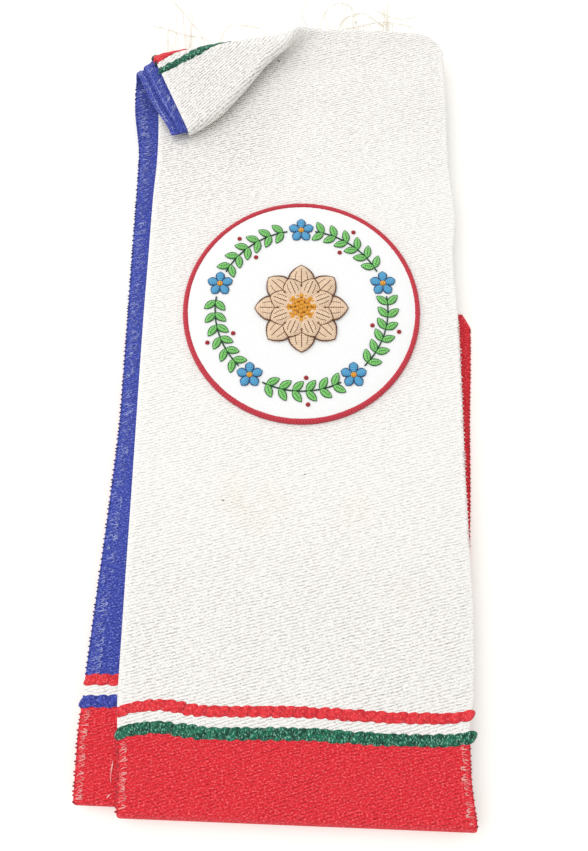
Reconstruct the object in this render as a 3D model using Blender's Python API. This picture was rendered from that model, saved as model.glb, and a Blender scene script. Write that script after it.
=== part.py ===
# A graduation stole: one long woven band whose two legs are folded into a flat bundle that lies
# on a table, white leg in front, with its top left corner turned down. Metres, +Z up.
import bmesh
import bpy
from collections import namedtuple
from math import cos, exp, log, pi, radians, sin, tan

# Cloth
stole_width = 0.135
cloth = 0.0011
layer_gap = 0.00035
piece_gap = 0.0003

# Lengths of the folded bundle
front_length = 0.345
tail_length = 0.201
corner_cut = 0.0061
blue_set_back = 0.0022
neck_set_back = 0.0042

# Woven stripes and the red feet below them
first_stripe = 0.0040
plain_stripe = 0.0034
last_stripe = 0.0044
white_leg_foot = 0.0287
blue_leg_foot = 0.0350
neck_stripe_drop = 0.0040
stripe_bump = 0.0018
bump_place = -0.37
bump_spread = 0.10

# Turned-down corner
corner_drop = 0.0262
rim_depth = 0.0092
roll_gap = 0.0036
rim_opening = 0.030
opening_start = -0.08
opening_run = 0.26
crease_blend = 0.003
least_roll = 0.002

# Fringe
fringe_length = 0.178
fringe_head = 0.003
lock_base = 0.0072
lock_tip = 0.0034

# Patch
patch_diameter = 0.102
patch_height_up = 0.200
patch_offset = 0.0032
patch_cloth = 0.0010
border_width = 0.0028
border_height = 0.0018
border_side = 0.0006
stitch_height = 0.0008
bloom_radius = 0.0200
heart_radius = 0.0072
garland_radius = 0.0370
flower_radius = 0.0056
sprig_width = 0.0095
stem_width = 0.0014

# Roundness of the stitched shapes: how deep the petals are cut, and the powers that round them
petal_cut = 0.38
petal_power = 0.6
leaf_power = 0.7

# Angles
crease_rise = radians(12.3)
flap_turn = radians(184)
bottom_tilt = radians(2.1)
stripe_tilt = radians(1.2)
neck_tilt = radians(6.5)

# Resolution
rows_below_crease = 8
rows_in_roll = 8
rows_above_crease = 12
flower_count = 5
bloom_petals = 8
leaf_points = 6
disc_sides = 64
rim_sides = 6
rim_steps = 48

# Side edges of each layer, from the table up. Column up is a share of the front length, left and
# right are shares of the width.
Edge = namedtuple("Edge", "up left right")
edges = {
    1: [
        Edge(0.000, -0.475, 0.489),
        Edge(0.565, -0.407, 0.578),
        Edge(0.583, -0.405, 0.540),
    ],
    2: [
        Edge(0.000, -0.596, 0.404),
        Edge(0.583, -0.528, 0.472),
    ],
    3: [
        Edge(0.000, -0.520, 0.480),
        Edge(0.750, -0.502, 0.500),
        Edge(0.900, -0.496, 0.516),
        Edge(0.970, -0.496, 0.530),
        Edge(1.200, -0.496, 0.530),
    ],
    4: [
        Edge(0.000, -0.520, 0.480),
        Edge(0.900, -0.556, 0.444),
        Edge(1.200, -0.556, 0.444),
    ],
    5: [
        Edge(0.000, -0.596, 0.404),
        Edge(0.080, -0.597, 0.403),
        Edge(0.136, -0.589, 0.411),
        Edge(0.230, -0.573, 0.427),
        Edge(0.340, -0.553, 0.447),
        Edge(0.455, -0.537, 0.463),
        Edge(0.650, -0.533, 0.467),
        Edge(0.800, -0.530, 0.470),
        Edge(0.900, -0.556, 0.444),
        Edge(1.200, -0.556, 0.444),
    ],
    6: [
        Edge(0.000, -0.475, 0.489),
        Edge(0.050, -0.479, 0.480),
        Edge(0.100, -0.486, 0.485),
        Edge(0.130, -0.490, 0.500),
        Edge(0.230, -0.489, 0.513),
        Edge(0.340, -0.486, 0.514),
        Edge(0.570, -0.480, 0.523),
        Edge(0.650, -0.476, 0.519),
        Edge(0.730, -0.472, 0.535),
        Edge(0.800, -0.465, 0.524),
        Edge(0.900, -0.475, 0.529),
        Edge(0.960, -0.496, 0.530),
        Edge(1.200, -0.496, 0.530),
    ],
}

# Outline of the top fold before the corner is turned down: shares of the width, across it and
# above the front length.
Ridge = namedtuple("Ridge", "across rise")
ridge_rows = [
    Ridge(-0.560, 0.194),
    Ridge(-0.512, 0.200),
    Ridge(-0.394, 0.186),
    Ridge(-0.267, 0.130),
    Ridge(-0.095, 0.036),
    Ridge(0.015, 0.005),
    Ridge(0.130, 0.008),
    Ridge(0.290, 0.006),
    Ridge(0.455, -0.006),
    Ridge(0.500, -0.030),
    Ridge(0.532, -0.074),
]

# Inner columns of each leg's grid, as shares of the width.
near_columns = (-0.37, -0.30, -0.25, -0.21, -0.17, -0.13, -0.09, -0.05, 0.0, 0.05, 0.11)
white_columns = near_columns + (0.18, 0.26, 0.34, 0.40, 0.455)
blue_columns = white_columns[:-1]

# Locks of each fringe: where the lock starts, as a share of the width across the tail's end, how
# far its tip drifts, as a share of the width, and its length as a share of the fringe's.
Lock = namedtuple("Lock", "across drift reach")
white_locks = [
    Lock(0.07, 0.02, 0.62),
    Lock(0.18, 0.03, 0.78),
    Lock(0.29, 0.04, 0.70),
    Lock(0.42, 0.05, 0.84),
    Lock(0.53, 0.04, 0.97),
    Lock(0.63, 0.00, 1.00),
    Lock(0.73, -0.03, 0.95),
    Lock(0.84, -0.06, 1.00),
    Lock(0.93, -0.07, 0.90),
]
blue_locks = [
    Lock(0.06, -0.02, 0.96),
    Lock(0.16, -0.05, 1.00),
    Lock(0.27, -0.01, 0.80),
    Lock(0.39, 0.01, 0.74),
    Lock(0.51, 0.02, 0.82),
    Lock(0.63, 0.01, 0.70),
    Lock(0.75, 0.00, 0.86),
    Lock(0.87, -0.02, 0.76),
]

# Colours as seen on a screen
colours = {
    "white_cloth": (0.955, 0.945, 0.930),
    "red_cloth": (0.870, 0.200, 0.225),
    "green_cloth": (0.110, 0.450, 0.360),
    "blue_cloth": (0.300, 0.350, 0.690),
    "fringe_thread": (0.960, 0.925, 0.850),
    "patch_twill": (0.960, 0.960, 0.935),
    "border_thread": (0.800, 0.130, 0.190),
    "tan_thread": (0.800, 0.660, 0.500),
    "gold_thread": (0.930, 0.660, 0.180),
    "leaf_thread": (0.330, 0.660, 0.300),
    "sky_thread": (0.330, 0.660, 0.860),
}

layer_pitch = cloth + layer_gap
half_cloth = cloth / 2
rolled_stack = 3 * layer_pitch + cloth
top_fold_depth = 1.5 * layer_pitch + half_cloth
bottom_fold_depth = 2.5 * layer_pitch + half_cloth
front_stripe_run = first_stripe + plain_stripe + last_stripe

Station = namedtuple("Station", "reach height turn layer")


def layer_height(layer):
    return half_cloth + (layer - 1) * layer_pitch


def between(rows, key, where):
    names = rows[0]._fields
    values = [getattr(row, key) for row in rows]
    for low, high, start, end in zip(rows, rows[1:], values, values[1:]):
        if where <= end or high is rows[-1]:
            share = min(max((where - start) / (end - start), 0.0), 1.0)
            return [
                getattr(low, name) + share * (getattr(high, name) - getattr(low, name))
                for name in names
            ]


def edge_pair(layer, reach):
    _, left, right = between(edges[layer], "up", reach / front_length)
    return left * stole_width, right * stole_width


def ridge(x):
    return front_length + stole_width * between(ridge_rows, "across", x / stole_width)[1]


def ridge_end(x):
    return ridge(x) - top_fold_depth


def crease(x):
    cap = front_length - rim_depth
    line = front_length - corner_drop + (x + stole_width / 2) * tan(crease_rise)
    soft = cap - crease_blend * log(1 + exp((cap - line) / crease_blend))
    return min(soft, ridge_end(x) - least_roll)


def bottom(x):
    return -x * tan(bottom_tilt)


def bottom_end(x):
    return bottom(x) + bottom_fold_depth


def blue_bottom_end(x):
    return bottom_end(x) + blue_set_back


def neck_end(x):
    return bottom_end(x) + neck_set_back


def neck_seam(x):
    return neck_end(x) + piece_gap


def blue_bottom(x):
    return blue_bottom_end(x) - top_fold_depth


def tail_corner(x):
    return tail_length - corner_cut


def tail_end(x):
    return tail_length


def stripe_line(foot, start, below):
    """Curve across the front, a distance below the upper edge of the stripes."""

    def curve(x):
        bump = stripe_bump * exp(-(((x / stole_width - bump_place) / bump_spread) ** 2))
        return start(x) + foot + front_stripe_run - below + x * tan(bottom_tilt - stripe_tilt) + bump

    return curve


def roll_radius(x):
    share = min(max((x / stole_width - opening_start) / opening_run, 0.0), 1.0)
    eased = share * share * (3 - 2 * share)
    return rolled_stack / 2 + roll_gap / 2 + rim_opening * eased * eased


def turn_down(x, y, z):
    """The corner's roll: what lies above the crease is bent up and over, as a page curls."""
    up = (y - crease(x)) * cos(crease_rise)
    if up <= 0:
        return x, y, z
    middle = (layer_height(3) + layer_height(6)) / 2
    radius = roll_radius(x)
    angle = min(up / radius, flap_turn)
    beyond = up - angle * radius
    arm = radius - (z - middle)
    shift = arm * sin(angle) + beyond * cos(angle) - up
    return (
        x - shift * sin(crease_rise),
        y + shift * cos(crease_rise),
        middle + radius - arm * cos(angle) + beyond * sin(angle),
    )


def flat_rows(layer, low, high, count, turn):
    return [
        Station(
            lambda x, share=i / count: low(x) + share * (high(x) - low(x)),
            layer_height(layer),
            turn,
            layer,
        )
        for i in range(count + 1)
    ]


def roll_reach(x, row):
    depth = (ridge_end(x) - crease(x)) * cos(crease_rise)
    step = min(flap_turn * roll_radius(x) / rows_in_roll, depth / rows_above_crease)
    if row > rows_in_roll:
        rest = (row - rows_in_roll) / (rows_above_crease - rows_in_roll)
        up = rows_in_roll * step + rest * (depth - rows_in_roll * step)
    else:
        up = row * step
    return crease(x) + up / cos(crease_rise)


def rolled_rows(layer, turn):
    return [
        Station(lambda x, row=row: roll_reach(x, row), layer_height(layer), turn, layer)
        for row in range(1, rows_above_crease + 1)
    ]


def fold_rows(lower, upper, end, way, count):
    """Half-round fold from the upper layer to the lower one; way is 1 at the top, -1 at the bottom."""
    centre = (layer_height(lower) + layer_height(upper)) / 2
    radius = (layer_height(upper) - layer_height(lower)) / 2
    rows = []
    for i in range(1, count):
        angle = pi * i / count
        rows.append(
            Station(
                lambda x, angle=angle: end(x) + way * radius * sin(angle),
                centre + radius * cos(angle),
                way * angle,
                upper if 2 * i < count else lower,
            )
        )
    return rows


def column_places(station, columns):
    left, right = edge_pair(station.layer, station.reach(0.0))
    left = edge_pair(station.layer, station.reach(left))[0]
    right = edge_pair(station.layer, station.reach(right))[1]
    return [left] + [share * stole_width for share in columns] + [right]


def sheet_shape(stations, columns):
    """Closed sheet of cloth through the stations, a grid of rows and columns on either side."""
    shape = bmesh.new()
    grid = []
    for station in stations:
        sides = []
        for half in (half_cloth, -half_cloth):
            sides.append(
                [
                    shape.verts.new(
                        (
                            x,
                            station.reach(x) + half * sin(station.turn),
                            station.height + half * cos(station.turn),
                        )
                    )
                    for x in column_places(station, columns)
                ]
            )
        grid.append(sides)
    for (outer, inner), (next_outer, next_inner) in zip(grid, grid[1:]):
        for i in range(len(outer) - 1):
            shape.faces.new((outer[i], outer[i + 1], next_outer[i + 1], next_outer[i]))
            shape.faces.new((inner[i], next_inner[i], next_inner[i + 1], inner[i + 1]))
        for i in (0, -1):
            shape.faces.new((outer[i], next_outer[i], next_inner[i], inner[i]))
    for outer, inner in (grid[0], grid[-1]):
        for i in range(len(outer) - 1):
            shape.faces.new((outer[i], outer[i + 1], inner[i + 1], inner[i]))
    bmesh.ops.recalc_face_normals(shape, faces=shape.faces)
    return shape


def cut_neck_layer(shape, below, keep_above):
    """Cuts the neck layer along the stripes' slanting line and closes the cut."""
    low = layer_height(3) + layer_pitch / 2
    faces = [face for face in shape.faces if face.calc_center_median().z < low]
    parts = set(faces)
    for face in faces:
        parts.update(face.edges)
        parts.update(face.verts)
    cut = bmesh.ops.bisect_plane(
        shape,
        geom=list(parts),
        dist=1e-7,
        plane_co=(-stole_width / 2, front_length - neck_stripe_drop - below, 0),
        plane_no=(sin(neck_tilt), cos(neck_tilt), 0),
        clear_inner=keep_above,
        clear_outer=not keep_above,
    )["geom_cut"]
    ends = [part for part in cut if isinstance(part, bmesh.types.BMEdge)]
    middle = layer_height(3)
    chains = [
        edge
        for edge in ends
        if (edge.verts[0].co.z - middle) * (edge.verts[1].co.z - middle) > 0
    ]
    bmesh.ops.bridge_loops(shape, edges=chains)
    bmesh.ops.recalc_face_normals(shape, faces=shape.faces)


def material(name):
    made = bpy.data.materials.get(name)
    if made:
        return made
    made = bpy.data.materials.new(name)
    made.use_nodes = True
    shader = made.node_tree.nodes["Principled BSDF"]
    linear = [((part + 0.055) / 1.055) ** 2.4 for part in colours[name]]
    shader.inputs["Base Color"].default_value = (*linear, 1.0)
    shader.inputs["Roughness"].default_value = 0.6 if "thread" in name else 0.9
    shader.inputs["Metallic"].default_value = 0.0
    return made


def add_piece(name, shape, stuff, rolled=False):
    bmesh.ops.triangulate(shape, faces=shape.faces, quad_method="SHORT_EDGE")
    if rolled:
        for vert in shape.verts:
            vert.co = turn_down(*vert.co)
    mesh = bpy.data.meshes.new(name)
    shape.to_mesh(mesh)
    shape.free()
    piece = bpy.data.objects.new(name, mesh)
    bpy.context.collection.objects.link(piece)
    mesh.materials.append(material(stuff))
    piece.parent = bundle
    return piece


def add_front_stripes(prefix, layer, columns, start, foot, names):
    above = 0.0
    for name, width, stuff in names:
        high = stripe_line(foot, start, above + piece_gap / 2)
        above += width
        low = stripe_line(foot, start, above - piece_gap / 2)
        rows = flat_rows(layer, low, high, 1, 0.0)
        add_piece(f"{prefix}_{name}", sheet_shape(rows, columns), stuff)


def white_leg():
    line = stripe_line(white_leg_foot, bottom, -piece_gap / 2)
    field = flat_rows(6, line, crease, rows_below_crease, 0.0) + rolled_rows(6, 0.0)
    field += fold_rows(3, 6, ridge_end, 1, 6)
    back = flat_rows(3, neck_end, crease, rows_below_crease, pi) + rolled_rows(3, pi)
    shape = sheet_shape(field + back[::-1], white_columns)
    cut_neck_layer(shape, -piece_gap / 2, True)
    add_piece("white_field", shape, "white_cloth", rolled=True)
    add_front_stripes(
        "white_leg",
        6,
        white_columns,
        bottom,
        white_leg_foot,
        (
            ("red_stripe", first_stripe, "red_cloth"),
            ("white_stripe", plain_stripe, "white_cloth"),
            ("green_stripe", last_stripe, "green_cloth"),
        ),
    )
    line = stripe_line(white_leg_foot, bottom, front_stripe_run + piece_gap / 2)
    end = flat_rows(6, bottom_end, line, 2, 0.0)[::-1]
    end += fold_rows(1, 6, bottom_end, -1, 8)
    end += flat_rows(1, bottom_end, tail_corner, 3, -pi)
    end += flat_rows(1, tail_corner, tail_end, 1, -pi)[1:]
    add_piece("white_leg_red_end", sheet_shape(end, white_columns[1:-1]), "red_cloth")


def neck_part():
    back = flat_rows(3, neck_end, crease, rows_below_crease, pi) + rolled_rows(3, pi)
    cut = 0.0
    for name, width, stuff in (
        ("neck_green_stripe", last_stripe, "green_cloth"),
        ("neck_white_stripe", plain_stripe, "white_cloth"),
        ("neck_red_stripe", first_stripe, "red_cloth"),
    ):
        shape = sheet_shape(back, white_columns)
        cut_neck_layer(shape, cut + piece_gap / 2, False)
        cut += width
        cut_neck_layer(shape, cut - piece_gap / 2, True)
        add_piece(name, shape, stuff, rolled=True)
    shape = sheet_shape(fold_rows(3, 4, neck_end, -1, 4) + back, white_columns)
    cut_neck_layer(shape, cut + piece_gap / 2, False)
    add_piece("neck_green_block", shape, "green_cloth", rolled=True)


def blue_leg():
    line = stripe_line(blue_leg_foot, blue_bottom, -piece_gap / 2)
    field = flat_rows(5, line, crease, rows_below_crease, 0.0) + rolled_rows(5, 0.0)
    field += fold_rows(4, 5, ridge_end, 1, 4)
    back = flat_rows(4, neck_seam, crease, rows_below_crease, pi) + rolled_rows(4, pi)
    add_piece(
        "blue_field", sheet_shape(field + back[::-1], blue_columns), "blue_cloth", rolled=True
    )
    add_front_stripes(
        "blue_leg",
        5,
        blue_columns[:-1],
        blue_bottom,
        blue_leg_foot,
        (
            ("red_stripe", first_stripe, "red_cloth"),
            ("white_stripe", plain_stripe, "white_cloth"),
            ("blue_stripe", last_stripe, "blue_cloth"),
        ),
    )
    line = stripe_line(blue_leg_foot, blue_bottom, front_stripe_run + piece_gap / 2)
    end = flat_rows(5, blue_bottom_end, line, 2, 0.0)[::-1]
    end += fold_rows(2, 5, blue_bottom_end, -1, 6)
    end += flat_rows(2, blue_bottom_end, tail_end, 4, -pi)
    add_piece("blue_leg_red_end", sheet_shape(end, blue_columns[:-1]), "red_cloth")


def add_fringe(name, layer, locks):
    """A head along the tail's end with locks of thread fused to it, as one flat comb."""
    left, right = edge_pair(layer, tail_length)
    width = right - left
    start = tail_length + piece_gap
    outline = [(left, start), (right, start), (right, start + fringe_head)]
    for lock in reversed(locks):
        base = left + lock.across * width
        tip = base + lock.drift * stole_width
        top = start + lock.reach * fringe_length
        outline += [
            (base + lock_base / 2, start + fringe_head),
            (tip + lock_tip / 2, top - lock_tip),
            (tip, top),
            (tip - lock_tip / 2, top - lock_tip),
            (base - lock_base / 2, start + fringe_head),
        ]
    outline.append((left, start + fringe_head))
    add_piece(name, plate(outline, layer_height(layer) - half_cloth, cloth), "fringe_thread")


def plate(outline, low, thickness):
    shape = bmesh.new()
    base = shape.faces.new([shape.verts.new((x, y, low)) for x, y in outline])
    raised = bmesh.ops.extrude_face_region(shape, geom=[base])["geom"]
    verts = [part for part in raised if isinstance(part, bmesh.types.BMVert)]
    bmesh.ops.translate(shape, vec=(0, 0, thickness), verts=verts)
    bmesh.ops.recalc_face_normals(shape, faces=shape.faces)
    return shape


def on_patch(radius, angle):
    return patch_offset + radius * cos(angle), patch_height_up + radius * sin(angle)


def rosette(x, y, radius, petals, points):
    """Outline of a flower: each petal is a round lobe between two notches."""
    count = petals * points
    outline = []
    for i in range(count):
        lobe = abs(sin(pi * i / points))
        reach = radius * (1 - petal_cut * (1 - lobe**petal_power))
        outline.append((x + reach * cos(2 * pi * i / count), y + reach * sin(2 * pi * i / count)))
    return outline


def sprig(start, end, leaves):
    """Outline of a bent sprig of the garland, its pairs of leaves as lobes on the stem."""
    count = leaves * 4
    sides = ([], [])
    for i in range(count + 1):
        share = i / count
        angle = start + share * (end - start)
        lobe = abs(sin(pi * leaves * share)) ** leaf_power
        half = (stem_width + (sprig_width - stem_width) * lobe) / 2
        for way, side in zip((1, -1), sides):
            side.append(on_patch(garland_radius + way * half, angle))
    return sides[0] + sides[1][::-1]


def patch():
    low = layer_height(6) + half_cloth + piece_gap
    disc_radius = patch_diameter / 2 - border_width - piece_gap
    disc = [on_patch(disc_radius, 2 * pi * i / disc_sides) for i in range(disc_sides)]
    add_piece("patch_disc", plate(disc, low, patch_cloth), "patch_twill")
    add_border(low)
    stitched = low + patch_cloth + piece_gap
    middle = on_patch(0, 0)
    petals = rosette(*middle, bloom_radius, bloom_petals, 6)
    add_piece("bloom_petals", plate(petals, stitched, stitch_height), "tan_thread")
    heart = rosette(*middle, heart_radius, bloom_petals, 4)
    raised = stitched + stitch_height + piece_gap
    add_piece("bloom_heart", plate(heart, raised, stitch_height), "gold_thread")
    half_flower = (flower_radius + 2 * piece_gap) / garland_radius
    for i in range(flower_count):
        angle = pi / 2 + 2 * pi * i / flower_count
        place = on_patch(garland_radius, angle)
        flower = rosette(*place, flower_radius, 5, 4)
        add_piece(f"blue_flower_{i + 1}", plate(flower, stitched, stitch_height), "sky_thread")
        leafy = sprig(angle + half_flower, angle + 2 * pi / flower_count - half_flower, leaf_points)
        add_piece(f"leaf_sprig_{i + 1}", plate(leafy, stitched, stitch_height), "leaf_thread")


def add_border(low):
    """The patch's overlocked rim: a rounded section spun round the disc."""
    shape = bmesh.new()
    outer = patch_diameter / 2
    middle = outer - border_width / 2
    profile = []
    for i in range(rim_sides + 1):
        angle = pi * i / rim_sides
        profile.append(
            shape.verts.new(
                (
                    patch_offset + middle + border_width / 2 * cos(angle),
                    patch_height_up,
                    low + border_side + (border_height - border_side) * sin(angle),
                )
            )
        )
    for side in (-1, 1):
        x = patch_offset + middle + side * border_width / 2
        profile.append(shape.verts.new((x, patch_height_up, low)))
    ring = [shape.edges.new(pair) for pair in zip(profile, profile[1:] + profile[:1])]
    bmesh.ops.spin(
        shape,
        geom=profile + ring,
        cent=(patch_offset, patch_height_up, 0),
        axis=(0, 0, 1),
        angle=2 * pi,
        steps=rim_steps,
        use_merge=True,
    )
    bmesh.ops.recalc_face_normals(shape, faces=shape.faces)
    add_piece("patch_border", shape, "border_thread")


def set_origin():
    """Moves the bundle so that the origin is under its middle, on the table."""
    bpy.context.view_layer.update()
    points = [piece.matrix_world @ vert.co for piece in bundle.children for vert in piece.data.vertices]
    lows = [min(point[i] for point in points) for i in range(3)]
    highs = [max(point[i] for point in points) for i in range(3)]
    bundle.location = (-(lows[0] + highs[0]) / 2, -(lows[1] + highs[1]) / 2, -lows[2])


for old in list(bpy.data.objects):
    bpy.data.objects.remove(old)
bundle = bpy.data.objects.new("stole", None)
bpy.context.collection.objects.link(bundle)
white_leg()
neck_part()
blue_leg()
add_fringe("white_leg_fringe", 1, white_locks)
add_fringe("blue_leg_fringe", 2, blue_locks)
patch()
set_origin()
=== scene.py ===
# A folded graduation stole: woven cloth, raised stripes, stitched edges, fringe, embroidery
import random
from bisect import bisect_right
from math import cos, exp, log, pi, radians, sin, tan

import bmesh
import bpy
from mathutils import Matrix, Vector


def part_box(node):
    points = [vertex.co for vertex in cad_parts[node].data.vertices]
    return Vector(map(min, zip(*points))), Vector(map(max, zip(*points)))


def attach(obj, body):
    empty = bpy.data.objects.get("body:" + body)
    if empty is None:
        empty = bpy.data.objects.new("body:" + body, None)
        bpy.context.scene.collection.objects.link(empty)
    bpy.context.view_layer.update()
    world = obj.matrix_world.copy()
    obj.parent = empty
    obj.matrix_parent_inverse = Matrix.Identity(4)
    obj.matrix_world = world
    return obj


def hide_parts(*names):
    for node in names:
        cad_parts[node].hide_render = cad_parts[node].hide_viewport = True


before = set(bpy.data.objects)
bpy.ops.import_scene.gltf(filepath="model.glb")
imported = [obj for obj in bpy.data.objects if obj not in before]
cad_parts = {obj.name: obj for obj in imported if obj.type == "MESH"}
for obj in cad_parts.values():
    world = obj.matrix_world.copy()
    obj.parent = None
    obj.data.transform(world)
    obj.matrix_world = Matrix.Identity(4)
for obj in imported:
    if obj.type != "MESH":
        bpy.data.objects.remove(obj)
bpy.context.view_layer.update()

print("frame loaded, nodes:", len(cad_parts))

# How the band is folded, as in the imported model: metres, and shares of the width across it
bundle = {
    "width": 0.135,
    "cloth": 0.0011,
    "layerGap": 0.00035,
    "frontLength": 0.345,
    "tailLength": 0.201,
    "tailCorner": 0.0061,
    "blueSetBack": 0.0022,
    "neckSetBack": 0.0042,
    "seamGap": 0.0003,
    "bottomTilt": radians(2.1),
    "creaseRise": radians(12.3),
    "flapTurn": radians(184),
    "cornerDrop": 0.0262,
    "rimDepth": 0.0092,
    "rollGap": 0.0036,
    "rimOpening": 0.030,
    "openingStart": -0.08,
    "openingRun": 0.26,
    "cornerSide": -0.496,
    "sideFall": 0.19,
    "sideStep": 0.0022,
    "sideReach": 0.0010,
    "creaseBlend": 0.003,
    "leastRoll": 0.002,
}
# Left and right edge of each layer, from the table up: height up the front, left, right
layerEdges = {
    1: [
        (0, -0.475, 0.478), (0.20, -0.451, 0.510), (0.30, -0.439, 0.531),
        (0.361, -0.431, 0.5428), (0.439, -0.422, 0.5537), (0.517, -0.413, 0.569),
        (0.573, -0.406, 0.576), (0.583, -0.405, 0.552),
    ],
    2: [(0, -0.596, 0.404), (0.583, -0.528, 0.472)],
    3: [(0, -0.520, 0.480), (0.75, -0.502, 0.500), (0.9, -0.496, 0.516), (0.97, -0.496, 0.530)],
    4: [(0, -0.520, 0.480), (0.9, -0.529, 0.444), (1, -0.529, 0.444), (1.055, -0.518, 0.444)],
    5: [
        (0, -0.596, 0.404), (0.08, -0.597, 0.403), (0.136, -0.589, 0.411), (0.23, -0.573, 0.427),
        (0.34, -0.553, 0.447), (0.455, -0.537, 0.463), (0.65, -0.533, 0.467), (0.8, -0.530, 0.470),
        (0.9, -0.556, 0.444), (1, -0.556, 0.444), (1.055, -0.541, 0.444),
    ],
    6: [
        (0, -0.475, 0.489), (0.05, -0.479, 0.480), (0.10, -0.486, 0.485), (0.13, -0.490, 0.500),
        (0.23, -0.489, 0.513), (0.34, -0.486, 0.514),
        (0.57, -0.480, 0.523), (0.65, -0.476, 0.519), (0.73, -0.472, 0.535), (0.8, -0.465, 0.524),
        (0.9, -0.475, 0.529), (0.96, -0.496, 0.530), (1.2, -0.496, 0.530),
    ],
}
# Outline of the top fold before the corner is turned down
ridgeLine = [
    (-0.560, 0.139), (-0.515, 0.160), (-0.496, 0.202), (-0.394, 0.186), (-0.267, 0.130),
    (-0.095, 0.036), (0.015, 0.005), (0.130, 0.008), (0.290, 0.006), (0.455, -0.006),
    (0.500, -0.030), (0.532, -0.074),
]
# Soft waves of the whole stack: place across and up, reach across and up, height
clothWaves = [
    (-0.30, 0.52, 0.30, 0.10, 0.00035),
    (0.35, 0.62, 0.22, 0.16, 0.0004),
    (-0.05, 0.34, 0.34, 0.08, -0.0003),
    (0.40, 0.22, 0.16, 0.10, 0.00045),
    (-0.42, 0.125, 0.12, 0.05, 0.0005),
    (0.05, 0.12, 0.25, 0.03, 0.0003),
    (0.20, 0.945, 0.26, 0.018, -0.0016),
    (0.22, 0.990, 0.28, 0.018, 0.0008),
]

width, cloth = bundle["width"], bundle["cloth"]
halfCloth, pitch = cloth / 2, cloth + bundle["layerGap"]
topFoldDepth = 1.5 * pitch + halfCloth
bottomFoldDepth = 2.5 * pitch + halfCloth
stackHeight = 5 * pitch + cloth
weaveStart = 0.25  # where the band coordinate starts, so that it is never below nought

patchPlace = {"across": 0.0032, "up": 0.200}
discLow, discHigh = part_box("patch_disc")
rowShift = (
    (discLow[0] + discHigh[0]) / 2 - patchPlace["across"],
    (discLow[1] + discHigh[1]) / 2 - patchPlace["up"],
)


def smoothThrough(points):
    # a smooth curve through (place, value) points that never swings past their values
    places, values = [p[0] for p in points], [p[1] for p in points]
    runs = [b - a for a, b in zip(places, places[1:])]
    slopes = [(b - a) / run for a, b, run in zip(values, values[1:], runs)]
    middle = [0 if a * b <= 0 else 2 * a * b / (a + b) for a, b in zip(slopes, slopes[1:])]
    tangents = [slopes[0]] + middle + [slopes[-1]]

    def curve(place):
        i = min(max(bisect_right(places, place) - 1, 0), len(runs) - 1)
        t = min(max((place - places[i]) / runs[i], 0), 1)
        start, end = values[i], values[i + 1]
        blend = t * t * (3 - 2 * t)
        pull = t * (1 - t) * runs[i] * ((1 - t) * tangents[i] - t * tangents[i + 1])
        return start + (end - start) * blend + pull

    return curve


edgeCurves = {
    layer: (smoothThrough([r[:2] for r in rows]), smoothThrough([(r[0], r[2]) for r in rows]))
    for layer, rows in layerEdges.items()
}
ridgeCurve = smoothThrough(ridgeLine)


def edgeOf(layer, side, y):
    return edgeCurves[layer][side](y / bundle["frontLength"]) * width


def layerHeight(layer):
    return halfCloth + (layer - 1) * pitch


def ridgeEnd(x):
    return bundle["frontLength"] + width * ridgeCurve(x / width) - topFoldDepth


def crease(x):
    cap = bundle["frontLength"] - bundle["rimDepth"]
    rise = (x + width / 2) * tan(bundle["creaseRise"])
    line = bundle["frontLength"] - bundle["cornerDrop"] + rise
    aside = max(bundle["cornerSide"] * width - x, 0)
    line -= aside * bundle["sideFall"]
    line -= bundle["sideStep"] * (1 - exp(-aside / bundle["sideReach"]))
    soft = cap - bundle["creaseBlend"] * log(1 + exp((cap - line) / bundle["creaseBlend"]))
    return min(soft, ridgeEnd(x) - bundle["leastRoll"])


def bottomEnd(x):
    return bottomFoldDepth - x * tan(bundle["bottomTilt"])


def blueBottomEnd(x):
    return bottomEnd(x) + bundle["blueSetBack"]


def neckEnd(x):
    return bottomEnd(x) + bundle["neckSetBack"]


def turnDown(x, y, z):
    # the corner's roll: what lies above the crease curls up and over
    rise = bundle["creaseRise"]
    up = (y - crease(x)) * cos(rise)
    if up <= 0:
        return x, y, z
    share = min(max((x / width - bundle["openingStart"]) / bundle["openingRun"], 0), 1)
    opening = bundle["rimOpening"] * (share * share * (3 - 2 * share)) ** 2
    radius = (3 * pitch + cloth + bundle["rollGap"]) / 2 + opening
    middle = layerHeight(4.5)
    angle = min(up / radius, bundle["flapTurn"])
    beyond = up - angle * radius
    arm = radius - (z - middle)
    shift = arm * sin(angle) + beyond * cos(angle) - up
    return (
        x - shift * sin(rise),
        y + shift * cos(rise),
        middle + radius - arm * cos(angle) + beyond * sin(angle),
    )


def wave(x, y):
    length = bundle["frontLength"]
    return sum(
        high * exp(-(((x / width - across) / reach) ** 2) - ((y / length - up) / rise) ** 2)
        for across, up, reach, rise, high in clothWaves
    )


def settle(x, y, z):
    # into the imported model's frame, with the stack's soft waves
    lift = min(max(z, 0) / stackHeight, 1) * wave(x, y)
    return Vector((x + rowShift[0], y + rowShift[1], z + lift))


def lying(layer, x, y, z):
    # where a layer's point comes to lie; the tails, layers 1 and 2, stay out of the roll
    return settle(*turnDown(x, y, z)) if layer > 2 else settle(x, y, z)


def onCloth(layer, side, x, y, lift):
    # a point at a height over a layer's upper face, side 1, or under its lower one, side -1
    return lying(layer, x, y, layerHeight(layer) + side * (halfCloth + lift))


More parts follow.
